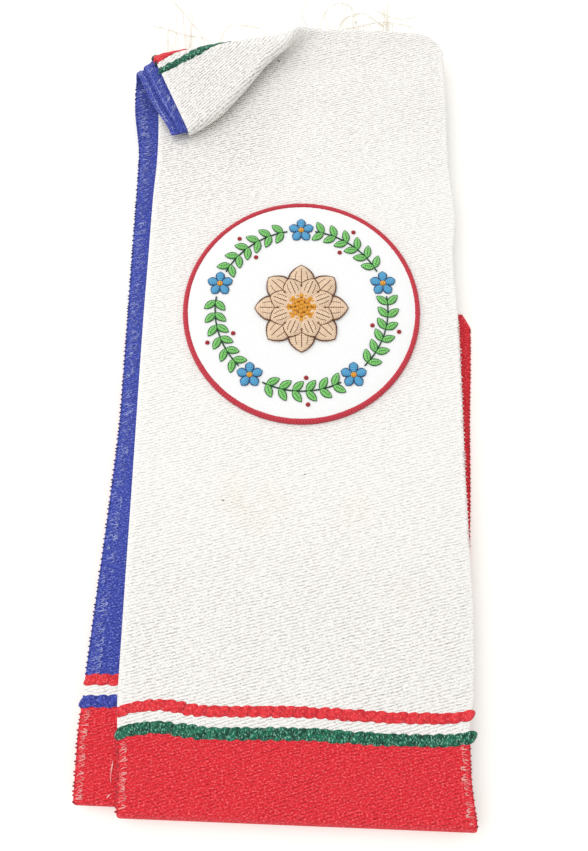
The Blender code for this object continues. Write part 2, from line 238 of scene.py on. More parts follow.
# Woven stripes: widths from the white or blue field down, and the red feet under them
stripes = {
    "first": 0.0040,
    "plain": 0.0034,
    "last": 0.0044,
    "whiteFoot": 0.0287,
    "blueFoot": 0.0350,
    "neckDrop": 0.0040,
    "inset": 0.00025,
    "neckFirst": 0.0032,
    "neckPlain": 0.0026,
    "neckLast": 0.0034,
    "tilt": radians(1.2),
    "bump": 0.0018,
    "bumpPlace": -0.37,
    "bumpSpread": 0.10,
    "sag": [
        (-0.478, 0.0012), (-0.45, 0.0001), (-0.36, -0.0001), (-0.28, 0.0003), (-0.12, -0.0004),
        (0.0, -0.0006), (0.12, -0.0001), (0.28, 0.0007), (0.42, 0.0006), (0.478, -0.0006),
    ],
}
sagCurve = smoothThrough(stripes["sag"])
stripeRun = stripes["first"] + stripes["plain"] + stripes["last"]


def frontStripe(layer, x):
    # upper edge of the front's stripes
    across = (x / width - stripes["bumpPlace"]) / stripes["bumpSpread"]
    bump = stripes["bump"] * exp(-(across**2))
    lean = x * tan(bundle["bottomTilt"] - stripes["tilt"])
    if layer == 6:
        bump -= sagCurve(x / width)
        return stripes["whiteFoot"] + stripeRun + bottomEnd(x) - bottomFoldDepth + lean + bump
    return stripes["blueFoot"] + stripeRun + blueBottomEnd(x) - topFoldDepth + lean + bump


def neckStripe(x):
    # upper edge of the neck's stripes, which slant on the layer behind
    lean = (x + width / 2) * tan(weave["neckTilt"])
    return bundle["frontLength"] - stripes["neckDrop"] - lean


# Shapes become pieces
def linked(name, data):
    made = bpy.data.objects.new(name, data)
    bpy.context.collection.objects.link(made)
    return made


def placed(name, shape, material):
    mesh = bpy.data.meshes.new(name)
    shape.to_mesh(mesh)
    shape.free()
    mesh.polygons.foreach_set("use_smooth", [True] * len(mesh.polygons))
    mesh.update()
    mesh.materials.append(material)
    return linked(name, mesh)


def dressed(name, shape, material, slotName, *nodes):
    # a piece of the stole, in place of the nodes of the imported model that it stands for
    piece = placed(name, shape, material)
    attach(piece, "root")
    if nodes:
        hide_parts(*nodes)
    return piece


# Finishes
def sumOf(operation):
    return lambda self, other: self.math(operation, other)


class Value:
    # wraps a socket, so that sums on it add Math nodes
    def __init__(self, finish, socket):
        self.finish, self.socket = finish, socket

    def math(self, operation, *others):
        values = dict(enumerate((self, *others)))
        return self.finish.node("ShaderNodeMath", {"operation": operation}, values)

    def __rsub__(self, other):
        return self.finish.node("ShaderNodeMath", {"operation": "SUBTRACT"}, {0: other, 1: self})

    __add__ = __radd__ = sumOf("ADD")
    __sub__ = sumOf("SUBTRACT")
    __mul__ = __rmul__ = sumOf("MULTIPLY")
    __truediv__ = sumOf("DIVIDE")
    __gt__ = sumOf("GREATER_THAN")

    def step(self, low, high):
        # 0 below low, 1 above high, smooth between
        values = {"Value": self, "From Min": low, "From Max": high}
        settings = {"interpolation_type": "SMOOTHSTEP"}
        return self.finish.node("ShaderNodeMapRange", settings, values)

    def ridge(self, exponent=2):
        # how far a repeating value is from the middle of its run: 0 in the middle, 1 at the ends
        off = self.math("FRACT") - 0.5
        return off * off * 4 if exponent == 2 else off.math("ABSOLUTE") * 2


class Finish:
    # one material and the way its nodes are added
    def __init__(self, name, roughness=0.9, sheen=0.0):
        self.material = bpy.data.materials.new(name)
        self.material.use_nodes = True
        self.tree = self.material.node_tree
        self.shader = self.tree.nodes["Principled BSDF"]
        self.shader.inputs["Roughness"].default_value = roughness
        self.shader.inputs["Specular IOR Level"].default_value = 0.25
        self.shader.inputs["Sheen Weight"].default_value = sheen

    def node(self, kind, settings, values, output=0):
        made = self.tree.nodes.new(kind)
        for key, setting in settings.items():
            setattr(made, key, setting)
        for key, value in values.items():
            if isinstance(value, Value):
                self.tree.links.new(value.socket, made.inputs[key])
            else:
                made.inputs[key].default_value = value
        return Value(self, made.outputs[output])

    def objectPlace(self):
        return self.node("ShaderNodeTexCoord", {}, {}, "Object")

    def uvPlace(self, name):
        return self.node("ShaderNodeUVMap", {"uv_map": name}, {})

    def parts(self, place):
        return [self.node("ShaderNodeSeparateXYZ", {}, {0: place}, i) for i in range(3)]

    def noise(self, place, size, detail=2.0, roughness=0.5):
        # size is the length of its blotches in metres
        values = {"Vector": place, "Scale": 1 / size, "Detail": detail, "Roughness": roughness}
        return self.node("ShaderNodeTexNoise", {}, values)

    def mix(self, share, one, other, way="MIX"):
        settings = {"data_type": "RGBA", "blend_type": way, "clamp_factor": True}
        return self.node("ShaderNodeMix", settings, {0: share, 6: one, 7: other}, 2)

    def stretch(self, place, scale):
        settings = {"operation": "MULTIPLY"}
        return self.node("ShaderNodeVectorMath", settings, {0: place, 1: scale})

    def distance(self, place, point):
        settings = {"operation": "DISTANCE"}
        return self.node("ShaderNodeVectorMath", settings, {0: place, 1: point}, 1)

    def attribute(self, name):
        return self.node("ShaderNodeAttribute", {"attribute_name": name}, {}, 2)

    def paint(self, colour, height=None, depth=0.001, strength=1.0):
        self.tree.links.new(colour.socket, self.shader.inputs["Base Color"])
        if height is not None:
            values = {"Strength": strength, "Distance": depth, "Height": height}
            bump = self.node("ShaderNodeBump", {}, values)
            self.tree.links.new(bump.socket, self.shader.inputs["Normal"])
        return self.material


def screen(red, green, blue):
    # a colour as a screen shows it, 0 to 255
    linear = [((part / 255 + 0.055) / 1.055) ** 2.4 for part in (red, green, blue)]
    return (*linear, 1.0)


# The weave: a twill whose floats step up to the right, one warp at a time. Each colour has its own
# body, line between floats and fleck. Strengths: how dark the lines are on the front, and what the
# brighter middle, painted light, and the back take off and the turned corner adds
weave = {
    "warpPitch": 0.00115,
    "twillRise": 0.0012,
    "floats": 4,
    "selvedge": 0.0026,
    "neckTilt": radians(6.5),
    "worn": ((0.32, 0.38), (0.49, 0.56)),
    "backStart": (0.61, 0.62),
    "cornerAcross": (0.03, 0.075),
    "cornerUp": (0.44, 0.54),
    "strength": 1.28,
    "paintedLightLoss": 0.66,
    "backLoss": 0.22,
    "cornerGain": 0.90,
    "lineShade": 0.56,
    "grainShade": 0.34,
    "fleckShade": 0.85,
    "lintShade": 0.8,
    "bumpDepth": 0.00034,
    "white": (screen(247, 245, 241), screen(176, 169, 164), screen(255, 254, 252)),
    "red": (screen(226, 40, 54), screen(160, 8, 24), screen(255, 116, 118)),
    "green": (screen(22, 108, 80), screen(8, 62, 46), screen(92, 178, 148)),
    "blue": (screen(58, 72, 166), screen(30, 38, 116), screen(140, 152, 222)),
    "stain": screen(236, 226, 198),
    "lint": screen(96, 92, 88),
}
# Faint yellowish stains and dark lint on the white field: across and up in metres, radius, strength
stains = [
    (-0.0264, 0.1225, 0.0085, 0.16), (-0.0200, 0.1100, 0.0080, 0.13),
    (0.0224, 0.1140, 0.0090, 0.10), (-0.0120, 0.1180, 0.0110, 0.10),
    (0.0400, 0.0800, 0.0100, 0.06),
]
lint = [(-0.0304, 0.1179, 0.00038), (0.0024, 0.1285, 0.00028), (-0.0106, 0.3284, 0.00042)]
lintStretch = 0.55


def wovenCloth(name, blocks, spotted=False):
    # blocks: where each colour starts on the band, from the lowest, with its colours
    finish = Finish(name, roughness=0.92, sheen=0.10)
    place = finish.uvPlace("weave")
    u, v, _ = finish.parts(place)
    bend = finish.noise(place, 0.009, 1.0) - 0.5
    wobble = finish.noise(place, 0.0022, 1.0) - 0.5
    across = u / weave["warpPitch"] + wobble * 0.35
    warp = across.math("FLOOR")
    stepped = (warp + (across - warp).step(0.15, 0.85)) / weave["floats"]
    shake = finish.noise(place, 0.0013, 2.0) - 0.5
    twill = v / weave["twillRise"] - stepped + wobble * 0.5 + bend * 0.9 + shake * 0.7
    line = twill.ridge(1).step(0.35, 0.98)
    dash = finish.noise(finish.stretch(place, (1.0, 2.6, 1.0)), 0.0024, 3.0, 0.6).step(0.40, 0.64)
    fleck = finish.noise(finish.stretch(place, (1.0, 1.7, 1.0)), 0.0009, 2.0, 0.6)
    fuzz = finish.noise(place, 0.0005, 2.0, 0.6)
    patchy = finish.noise(place, 0.02, 2.0).step(0.35, 0.7)
    edge = (finish.attribute("edge") / weave["selvedge"]).step(0.5, 1.2)
    # painted light: the twill lines fade over the middle of the front, so that it lies brighter
    worn = v.step(*weave["worn"][0]) - v.step(*weave["worn"][1])
    back = v.step(*weave["backStart"])
    corner = (1 - u.step(*weave["cornerAcross"])) * v.step(*weave["cornerUp"])
    strength = weave["strength"] - worn * weave["paintedLightLoss"] - back * weave["backLoss"]
    strength = strength + corner * weave["cornerGain"]
    shown = line * (0.30 + dash * 0.70) * (0.25 + edge * 0.75) * (0.75 + patchy * 0.25) * strength
    grain = (1 - fleck).step(0.48, 0.72) * strength
    height = 1.0 - line * 0.7 * (0.4 + dash * 0.6) + fleck * 0.9 + fuzz * 0.35

    body = finish.attribute("woven") + wobble * 0.0009 + bend * 0.0006
    colours = blocks[0][1]
    for start, blockColours in blocks[1:]:
        over = body > start
        colours = [finish.mix(over, *pair) for pair in zip(colours, blockColours)]
    woven = finish.mix(fleck.step(0.50, 0.70) * weave["fleckShade"], colours[0], colours[2])
    shade = shown * weave["lineShade"] + grain * weave["grainShade"]
    woven = finish.mix(shade, woven, colours[1])
    if spotted:
        front = finish.attribute("front")
        for sx, sy, reach, depth in stains:
            far = finish.distance(place, (sx + width / 2, weaveStart + sy, 0.0))
            ragged = (far / reach + bend * 1.2).step(0.0, 1.3)
            woven = finish.mix((1 - ragged) * front * depth, woven, weave["stain"], "MULTIPLY")
        squeezed = finish.stretch(place, (lintStretch, 1.0, 1.0))
        for sx, sy, reach in lint:
            point = ((sx + width / 2) * lintStretch, weaveStart + sy, 0.0)
            edge = (finish.distance(squeezed, point) / reach).step(0.6, 1.1)
            woven = finish.mix((1 - edge) * front * weave["lintShade"], woven, weave["lint"])
    return finish.paint(woven, height, depth=weave["bumpDepth"], strength=0.9)


# the woven stripes end a little inside the raised floats that lie over them
inset = stripes["inset"]


def footBlocks(foot, lowest, field):
    # colours from the foot up to the field
    return [
        (-9.0, weave[foot]),
        (-stripeRun + inset, weave[lowest]),
        (-stripes["first"] - stripes["plain"] - inset, weave["white"]),
        (-stripes["first"] + inset, weave["red"]),
        (-inset, weave[field]),
    ]


neckWhite = 1.0 + stripes["neckLast"]
neckRed = neckWhite + stripes["neckPlain"]
whiteBlocks = footBlocks("red", "green", "white") + [
    (1.0 + inset, weave["green"]),
    (neckWhite - inset, weave["white"]),
    (neckRed + inset, weave["red"]),
    (neckRed + stripes["neckFirst"] - inset, weave["green"]),
]
blueBlocks = footBlocks("red", "blue", "blue")
whiteCloth = wovenCloth("whiteLegWeave", whiteBlocks, spotted=True)
blueCloth = wovenCloth("blueLegWeave", blueBlocks)
print("cloth finishes made")

# The two legs of the band: steps between rows in metres, rows of the rolled corner and of a fold
legs = {
    "flatLength": 0.889,
    "columns": 64,
    "blueColumns": 44,
    "footStep": 0.002,
    "stripeStep": 0.001,
    "frontStep": 0.0022,
    "blueFrontStep": 0.0026,
    "hiddenStep": 0.006,
    "rollRows": 34,
    "foldRows": 12,
    "selvedgeRound": [(0.0, 0.30), (0.00035, 0.78), (0.0009, 1.0)],
}
# Colour coordinate of cloth in one colour: red tail, field at the top fold, green block at the neck
tailWoven, fieldWoven, neckWoven = (lambda x, y, value=value: value for value in (-1, 0.5, 2.0))


# A row of the cloth: where it lies, its height, its turn, its layer, where it is on the unrolled
# band of the front and of the back, and its colour coordinate. A face is a layer, its turn, its
# place on the band and its colour coordinate
def rowsUp(face, low, *stops):
    # rows from low through each stop; a stop has the step in metres or its number of rows
    layer, turn, unrolled, woven = face
    rows = []
    for high, step in stops:
        count = step if step >= 1 else max(int(round((high(0) - low(0)) / step)), 1)
        for i in range(1 if rows else 0, count + 1):
            def reach(x, low=low, high=high, share=i / count):
                return low(x) + share * (high(x) - low(x))
            rows.append((reach, layerHeight(layer), turn, layer, unrolled(reach), woven))
        low = high
    return rows


def foldRows(lower, upper, end, way, kind, woven):
    # half-round fold; way is 1 at the top, -1 at the bottom. At the top the back's weave takes
    # over half-way round
    middle, radius = (layerHeight(lower) + layerHeight(upper)) / 2, (upper - lower) * pitch / 2
    rows, count = [], legs["foldRows"]
    for i in range(1, count):
        angle = pi * i / count
        def reach(x, angle=angle):
            return end(x) + way * radius * sin(angle)
        def over(x, angle=angle):
            return end(x) + way * radius * angle
        def under(x, angle=angle):
            return end(x) + radius * (pi - angle)
        if kind != "ridge":
            unrolled = {kind: over}
        else:
            unrolled = {"front": over} if 2 * i <= count else {}
            if 2 * i >= count:
                unrolled["back"] = under
        layer = upper if 2 * i < count else lower
        height = middle + radius * cos(angle)
        rows.append((reach, height, way * angle, layer, unrolled, woven))
    return rows


def bandPlace(kind, x, share, y):
    if kind == "front":
        return share * width, weaveStart + y
    tilt, top = weave["neckTilt"], bundle["frontLength"]
    return (
        width / 2 + x * cos(tilt) - (y - top) * sin(tilt),
        weaveStart + top + 0.03 - x * sin(tilt) - (y - top) * cos(tilt),
    )


def clothSheet(rows, columns):
    # closed sheet through the rows, its edges rounded, with its place on the band as a UV map
    rounding = legs["selvedgeRound"]
    shares = [(d / width, thick) for d, thick in rounding]
    shares += [(i / columns, 1.0) for i in range(1, columns)]
    shares += [(1 - d / width, thick) for d, thick in reversed(rounding)]
    shape = bmesh.new()
    uvLayer = shape.loops.layers.uv.new("weave")
    wovenLayer, edgeLayer, frontLayer = (
        shape.verts.layers.float.new(name) for name in ("woven", "edge", "front")
    )
    places, grid = {}, []
    for reach, height, turn, layer, unrolled, woven in rows:
        left = edgeOf(layer, 0, reach(-width / 2))
        right = edgeOf(layer, 1, reach(width / 2))
        sides = []
        for half in (halfCloth, -halfCloth):
            line = []
            for share, thick in shares:
                x = left + share * (right - left)
                y = reach(x)
                flat = (x, y + half * thick * sin(turn), height + half * thick * cos(turn))
                vert = shape.verts.new(lying(layer, *flat))
                vert[wovenLayer] = woven(x, y)
                vert[edgeLayer] = min(share, 1 - share) * width
                vert[frontLayer] = 1.0 if layer == 6 else 0.0
                places[vert] = {
                    kind: bandPlace(kind, x, share, band(x)) for kind, band in unrolled.items()
                }
                line.append(vert)
            sides.append(line)
        grid.append(sides)
    for (outer, inner), (nextOuter, nextInner) in zip(grid, grid[1:]):
        for i in range(len(outer) - 1):
            shape.faces.new((outer[i], outer[i + 1], nextOuter[i + 1], nextOuter[i]))
            shape.faces.new((inner[i], nextInner[i], nextInner[i + 1], inner[i + 1]))
        for i in (0, -1):
            shape.faces.new((outer[i], nextOuter[i], nextInner[i], inner[i]))
    for outer, inner in (grid[0], grid[-1]):
        for i in range(len(outer) - 1):
            shape.faces.new((outer[i], outer[i + 1], inner[i + 1], inner[i]))
    bmesh.ops.recalc_face_normals(shape, faces=shape.faces)
    for face in shape.faces:
        shared = set.intersection(*(set(places[vert]) for vert in face.verts))
        for loop in face.loops:
            loop[uvLayer].uv = places[loop.vert][min(shared)]
    return shape


def legRows(tail, front, back, bottom, neckEdge, tailStops, frontStep, neck):
    # one leg: from its tail's end round the bottom fold, up the front, over the top and down
    def onTail(reach):
        return {"front": lambda x: 2 * bottom(x) - reach(x) - pi * (front - tail) * pitch / 2}

    def stripeTop(x):
        return frontStripe(front, x)

    def footTop(x):
        return stripeTop(x) - stripeRun

    tailFace = (tail, -pi, onTail, tailWoven)
    frontFace = (front, 0, lambda reach: {"front": reach}, lambda x, y: y - stripeTop(x))
    backFace = (back, pi, lambda reach: {"back": reach}, neck)
    hidden, roll = legs["hiddenStep"], (ridgeEnd, legs["rollRows"])
    return (
        rowsUp(tailFace, bottom, *((stop, hidden) for stop in tailStops))[::-1]
        + foldRows(tail, front, bottom, -1, "front", tailWoven)[::-1]
        + rowsUp(frontFace, bottom, (footTop, legs["footStep"]), (stripeTop, legs["stripeStep"]),
                 (crease, frontStep), roll)
        + foldRows(back, front, ridgeEnd, 1, "ridge", fieldWoven)
        + rowsUp(backFace, neckEdge, (crease, hidden), roll)[::-1]
    )


def tailEnd(x):
    return bundle["tailLength"]


def tailCorner(x):
    return bundle["tailLength"] - bundle["tailCorner"]


def neckSeam(x):
    return neckEnd(x) + bundle["seamGap"]


def neckColours(x, y):
    return 1.0 + neckStripe(x) - y


whiteRows = legRows(
    1, 6, 3, bottomEnd, neckEnd, (tailCorner, tailEnd), legs["frontStep"], neckColours
)
whiteRows += foldRows(3, 4, neckEnd, -1, "back", neckWoven)[::-1]
blueRows = legRows(
    2, 5, 4, blueBottomEnd, neckSeam, (tailEnd,), legs["blueFrontStep"], fieldWoven
)
whiteLeg = dressed(
    "white_leg_cloth", clothSheet(whiteRows, legs["columns"]), whiteCloth, "white_cloth",
    "white_field", "white_leg_red_stripe", "white_leg_white_stripe", "white_leg_green_stripe",
    "white_leg_red_end", "neck_green_stripe", "neck_white_stripe", "neck_red_stripe",
    "neck_green_block",
)
blueLeg = dressed(
    "blue_leg_cloth", clothSheet(blueRows, legs["blueColumns"]), blueCloth, "blue_cloth",
    "blue_field", "blue_leg_red_stripe", "blue_leg_white_stripe", "blue_leg_blue_stripe",
    "blue_leg_red_end",
)
print("legs made")


def threadFinish(name, colour, dark, light=None, size=0.0012, fine=0.0006):
    # plied thread: blotched colour, light flecks and a fine bump
    finish = Finish(name, roughness=0.75, sheen=0.15)
    place = finish.objectPlace()
    patchy = finish.noise(place, size, 2.0).step(0.35, 0.65)
    fibre = finish.noise(finish.stretch(place, (1.6, 1.0, 1.0)), fine, 2.0, 0.6)
    colours = finish.mix(patchy, dark, colour)
    if light:
        colours = finish.mix(fibre.step(0.52, 0.70) * 0.8, colours, light)
        colours = finish.mix((1 - fibre).step(0.56, 0.74) * 0.6, colours, dark)
    return finish.paint(colours, fibre, depth=0.0003, strength=0.8)


def tube(shape, points, radius, sides=4):
    # a thread through the points, closed at its ends; radius is one number or a list
    rings = []
    for i, point in enumerate(points):
        way = points[min(i + 1, len(points) - 1)] - points[max(i - 1, 0)]
        if way.length < 1e-9:
            way = Vector((1, 0, 0))
        way.normalize()
        side = way.cross(Vector((0, 0, 1)))
        side = side.normalized() if side.length > 0.05 else Vector((1, 0, 0))
        up = side.cross(way)
        thick = radius[i] if isinstance(radius, list) else radius
        rings.append([
            shape.verts.new(point + side * cos(2 * pi * k / sides) * thick
                            + up * sin(2 * pi * k / sides) * thick)
            for k in range(sides)
        ])
    for ring, nextRing in zip(rings, rings[1:]):
        for k in range(sides):
            shape.faces.new((ring[k], ring[k - 1], nextRing[k - 1], nextRing[k]))
    shape.faces.new(rings[0])
    shape.faces.new(rings[-1][::-1])


# Raised floats of the stripes: broad low swells that run into one another, so that the edges
# scallop. Colours: body, shade and light; spans: how far a row starts and stops inside the edges
grains = {
    "pitch": 0.0041,
    "height": 0.00048,
    "slant": 0.20,
    "overlap": 1.07,
    "wide": 1.24,
    "sides": 8,
    "rings": 10,
    "whiteSpan": (0.0025, 0.0020),
    "blueSpan": (0.0036, 0.0024, -0.44),
    "neckSpan": (0.0021, 0.12),
    "neckInset": 0.06,
    "red": (screen(226, 52, 60), screen(196, 30, 42), screen(246, 108, 108)),
    "green": (screen(22, 108, 80), screen(6, 56, 44), screen(146, 212, 184)),
    "blue": (screen(58, 72, 170), screen(30, 40, 122), screen(130, 142, 220)),
}
grainFinishes = {
    colour: threadFinish(colour + "Floats", *grains[colour], fine=0.0009)
    for colour in ("red", "green", "blue")
}


def addGrain(shape, layer, side, x, y, wide, long, slant, high):
    made = bmesh.ops.create_uvsphere(
        shape, u_segments=grains["sides"], v_segments=grains["rings"], radius=1.0
    )
    for vert in made["verts"]:
        along = vert.co.z
        full = (1 - abs(along) ** 3) ** 0.5 / max((1 - along**2) ** 0.5, 1e-3)
        across = vert.co.x * wide / 2 * min(full, 1.5) + along * slant * wide
        lift = vert.co.y * high * min(full, 1.4)
        vert.co = onCloth(layer, side, x + across, y + along * long / 2, lift)
    if side > 0:
        faces = list({face for vert in made["verts"] for face in vert.link_faces})
        bmesh.ops.reverse_faces(shape, faces=faces)


def makeStripe(name, face, above, wide, start, end, seed):
    # one row of floats on a face of the cloth, at a distance under the stripes' upper edge
    layer, side, upperEdge = face
    chance = random.Random(seed)
    shape = bmesh.new()
    count = int(round((end - start) / grains["pitch"]))
    step = (end - start) / count
    for i in range(count + 1):
        x = start + step * i + (chance.uniform(-0.12, 0.12) * step if 0 < i < count else 0)
        y = upperEdge(x) - above - wide / 2
        addGrain(
            shape, layer, side, x, y + chance.uniform(-1, 1) * 0.00012,
            step * grains["wide"] * chance.uniform(0.95, 1.1),
            wide * grains["overlap"] * chance.uniform(0.94, 1.06),
            grains["slant"] * chance.uniform(0.6, 1.4),
            grains["height"] * chance.uniform(0.85, 1.2),
        )
    colour = name.split("_")[-1]
    dressed(name + "_floats", shape, grainFinishes[colour], colour + "_cloth")


def makeStripes():
    white = (6, 1, lambda x: frontStripe(6, x))
    blue = (5, 1, lambda x: frontStripe(5, x))
    neck = (3, -1, neckStripe)
    start = edgeOf(6, 0, 0.04) + grains["whiteSpan"][0]
    end = edgeOf(6, 1, 0.04) - grains["whiteSpan"][1]
    blueEdge, blueEnd = edgeOf(5, 0, 0.04), grains["blueSpan"][2] * width
    neckStart, neckStop = edgeOf(3, 0, 0.34) + grains["neckSpan"][0], grains["neckSpan"][1] * width
    first, last = stripes["first"], stripes["last"]
    under = first + stripes["plain"]
    neckFirst, neckLast = stripes["neckFirst"], stripes["neckLast"]
    shy = grains["neckInset"]
    neckUnder = neckLast + stripes["neckPlain"] + neckFirst * shy
    for row in (
        ("white_leg_red", white, 0.0, first, start, end, 10),
        ("white_leg_green", white, under, last, start, end, 11),
        ("blue_leg_red", blue, 0.0, first, blueEdge + grains["blueSpan"][0], blueEnd, 20),
        ("blue_leg_blue", blue, under, last, blueEdge + grains["blueSpan"][1], blueEnd, 21),
        ("neck_green", neck, neckLast * shy, neckLast * (1 - 2 * shy), neckStart, neckStop, 30),
        ("neck_red", neck, neckUnder, neckFirst * (1 - 2 * shy), neckStart, neckStop, 31),
    ):
        makeStripe(*row)


makeStripes()
print("stripes raised")

# Fringe: fine loose warp threads past each tail's end, gathered in soft locks with tangled tips.
# Locks: where each starts across the tail's end, its drift and its length as a share. Strays:
# points in metres across and up the front, over the top fold
fringe = {
    "length": 0.178,
    "threads": 16,
    "radius": 0.00017,
    "rootSpread": 0.0058,
    "spread": 0.0046,
    "points": 26,
    "curl": 0.0042,
    "strayPoints": 30,
    "strayTwins": 2,
    "colours": (screen(253, 250, 243), screen(240, 232, 216)),
    "whiteLocks": [
        (0.07, 0.02, 0.62), (0.18, 0.03, 0.78), (0.29, 0.04, 0.70), (0.42, 0.05, 0.84),
        (0.53, 0.04, 0.97), (0.63, 0.00, 1.00), (0.73, -0.03, 0.95), (0.84, -0.06, 1.00),
        (0.93, -0.07, 0.90),
    ],
    "blueLocks": [
        (0.06, -0.02, 0.96), (0.16, -0.05, 1.00), (0.27, -0.01, 0.80), (0.39, 0.01, 0.74),
        (0.51, 0.02, 0.82), (0.63, 0.01, 0.70), (0.75, 0.00, 0.86), (0.87, -0.02, 0.76),
    ],
    "strays": [
        [(-0.039, 0.330), (-0.036, 0.3505), (-0.030, 0.3565), (-0.021, 0.3560), (-0.014, 0.3505),
         (-0.010, 0.340)],
        [(-0.070, 0.3560), (-0.062, 0.3535), (-0.054, 0.3505), (-0.044, 0.3480), (-0.036, 0.335)],
        [(0.020, 0.335), (0.0225, 0.3540), (0.027, 0.3615), (0.034, 0.3635), (0.041, 0.3595),
         (0.047, 0.3525), (0.049, 0.338)],
        [(0.024, 0.3535), (0.033, 0.3560), (0.044, 0.3580), (0.054, 0.3570), (0.060, 0.3545)],
        [(0.006, 0.336), (0.008, 0.352), (0.004, 0.363), (0.007, 0.372), (0.012, 0.3785)],
        [(0.030, 0.3760), (0.037, 0.3700), (0.044, 0.3640), (0.052, 0.3600), (0.061, 0.3615)],
        [(-0.066, 0.3780), (-0.060, 0.3690), (-0.053, 0.3600), (-0.047, 0.3520), (-0.044, 0.338)],
        [(0.016, 0.340), (0.013, 0.355), (0.017, 0.366), (0.024, 0.3700), (0.030, 0.3660),
         (0.031, 0.3580)],
    ],
}
fringeThread = threadFinish("fringeThread", *fringe["colours"], size=0.003)


def addLocks(shape, layer, locks, chance):
    start, last, thick = bundle["tailLength"], fringe["points"], fringe["radius"]
    left, right = edgeOf(layer, 0, start), edgeOf(layer, 1, start)
    for share, drift, reach in locks:
        base = left + share * (right - left)
        for _ in range(fringe["threads"]):
            offset = chance.uniform(-1, 1)
            rootX = base + offset * fringe["rootSpread"]
            long = reach * fringe["length"] * chance.uniform(0.80, 1.0)
            curl = chance.uniform(-1, 1) * fringe["curl"]
            turn, twist = chance.uniform(0, 2 * pi), chance.uniform(5, 11)
            tipX = base + drift * width + offset * fringe["spread"]
            high = chance.uniform(-0.3, 0.3) * cloth
            points = []
            for i in range(last + 1):
                t = i / last
                pinch = 1 - 0.55 * sin(pi * min(t * 1.2, 1))
                x = base + (rootX - base) * pinch * (1 - t) + (tipX - base) * t
                x += curl * t * t * sin(turn + twist * t) + 0.0004 * sin(turn + 31 * t)
                y = start - 0.0004 + long * (t - 0.010 * (1 + sin(turn * 2 + twist * t)) * t * t)
                z = layerHeight(layer) + high * (1 - t) + cloth * 0.25 * sin(turn + 7 * t)
                points.append(settle(x, y, max(z, thick * 1.1)))
            tube(shape, points, [thick * (1 - 0.45 * i / last) for i in range(last + 1)], 3)


def addStrays(shape, chance):
    last = fringe["strayPoints"]
    for path in fringe["strays"]:
        across = smoothThrough([(i, x) for i, (x, _) in enumerate(path)])
        along = smoothThrough([(i, y) for i, (_, y) in enumerate(path)])
        for _ in range(fringe["strayTwins"]):
            shift = chance.uniform(-0.0006, 0.0006)
            points = []
            for i in range(last + 1):
                at = (len(path) - 1) * i / last
                points.append(settle(
                    across(at) + shift * (1 + sin(at * 2)), along(at) + shift * cos(at),
                    0.0006 + 0.0003 * sin(at * 3 + shift * 9000)))
            tube(shape, points, fringe["radius"] * 0.75, 3)


def makeFringe(leg, layer, seed):
    chance = random.Random(seed)
    shape = bmesh.new()
    addLocks(shape, layer, fringe[leg + "Locks"], chance)
    if leg == "white":
        addStrays(shape, chance)
    name = f"{leg}_leg_fringe"
    return dressed(name + "_threads", shape, fringeThread, "fringe_thread", name)


whiteFringe = makeFringe("white", 1, 41)
blueFringe = makeFringe("blue", 2, 42)
print("fringes made")

# Patch: twill disc and overlocked rim
patch = {
    "diameter": 0.102,
    "cloth": 0.0010,
    "borderWidth": 0.0027,
    "borderHeight": 0.0018,
    "gap": 0.0003,
    "ribs": 230,
    "ribDepth": 0.00007,
    "disc": screen(243, 244, 244),
    "discLine": screen(214, 216, 210),
    "red": screen(192, 52, 66),
    "redGroovesAndShade": screen(146, 22, 38),
}


def onPatch(x, y, z):
    # a point from the patch's middle, at a height over its underside
    low = stackHeight + patch["gap"]
    return settle(patchPlace["across"] + x, patchPlace["up"] + y, low + z)


def turned(x, y, angle, along, across=0.0):
    # the point that lies along and across a line that leaves (x, y) at the angle
    return (
        x + along * cos(angle) - across * sin(angle),
        y + along * sin(angle) + across * cos(angle),
    )


def patchTwill():
    finish = Finish("patchTwill", roughness=0.7, sheen=0.1)
    place = finish.objectPlace()
    x, y, _ = finish.parts(place)
    wobble = finish.noise(place, 0.002, 1.0) - 0.5
    rib = ((x - y) / 0.00085 + wobble * 0.2).ridge()
    cross = ((x + y) / 0.0006).ridge()
    fuzz = finish.noise(place, 0.0005, 2.0)
    colour = finish.mix(rib.step(0.5, 1.0) * 0.5, patch["disc"], patch["discLine"])
    height = 1.0 - rib * 0.7 - cross * 0.25 + fuzz * 0.3
    return finish.paint(colour, height, depth=0.00012, strength=0.7)


def makeDisc():
    shape = bmesh.new()
    radius, high = patch["diameter"] / 2 - patch["borderWidth"] * 0.6, patch["cloth"]
    rings = [(radius * i / 8, high) for i in range(8)]
    profile = rings + [(radius - 0.0005, high), (radius - 0.0001, high - 0.0001)]
    profile += [(radius, high - 0.0003), (radius, 0.0), (radius - 0.0004, 0.0)]
    profile += [(far, 0.0) for far, _ in rings[::-1]]
    verts = [shape.verts.new((far, 0, up)) for far, up in profile]
    line = [shape.edges.new(pair) for pair in zip(verts, verts[1:])]
    bmesh.ops.spin(shape, geom=verts + line, cent=(0, 0, 0), axis=(0, 0, 1), angle=2 * pi,
                   steps=120, use_merge=True)
    bmesh.ops.remove_doubles(shape, verts=shape.verts, dist=1e-6)
    bmesh.ops.recalc_face_normals(shape, faces=shape.faces)
    for vert in shape.verts:
        vert.co = onPatch(*vert.co)
    return dressed("patch_twill_disc", shape, patchTwill(), "patch_twill", "patch_disc")


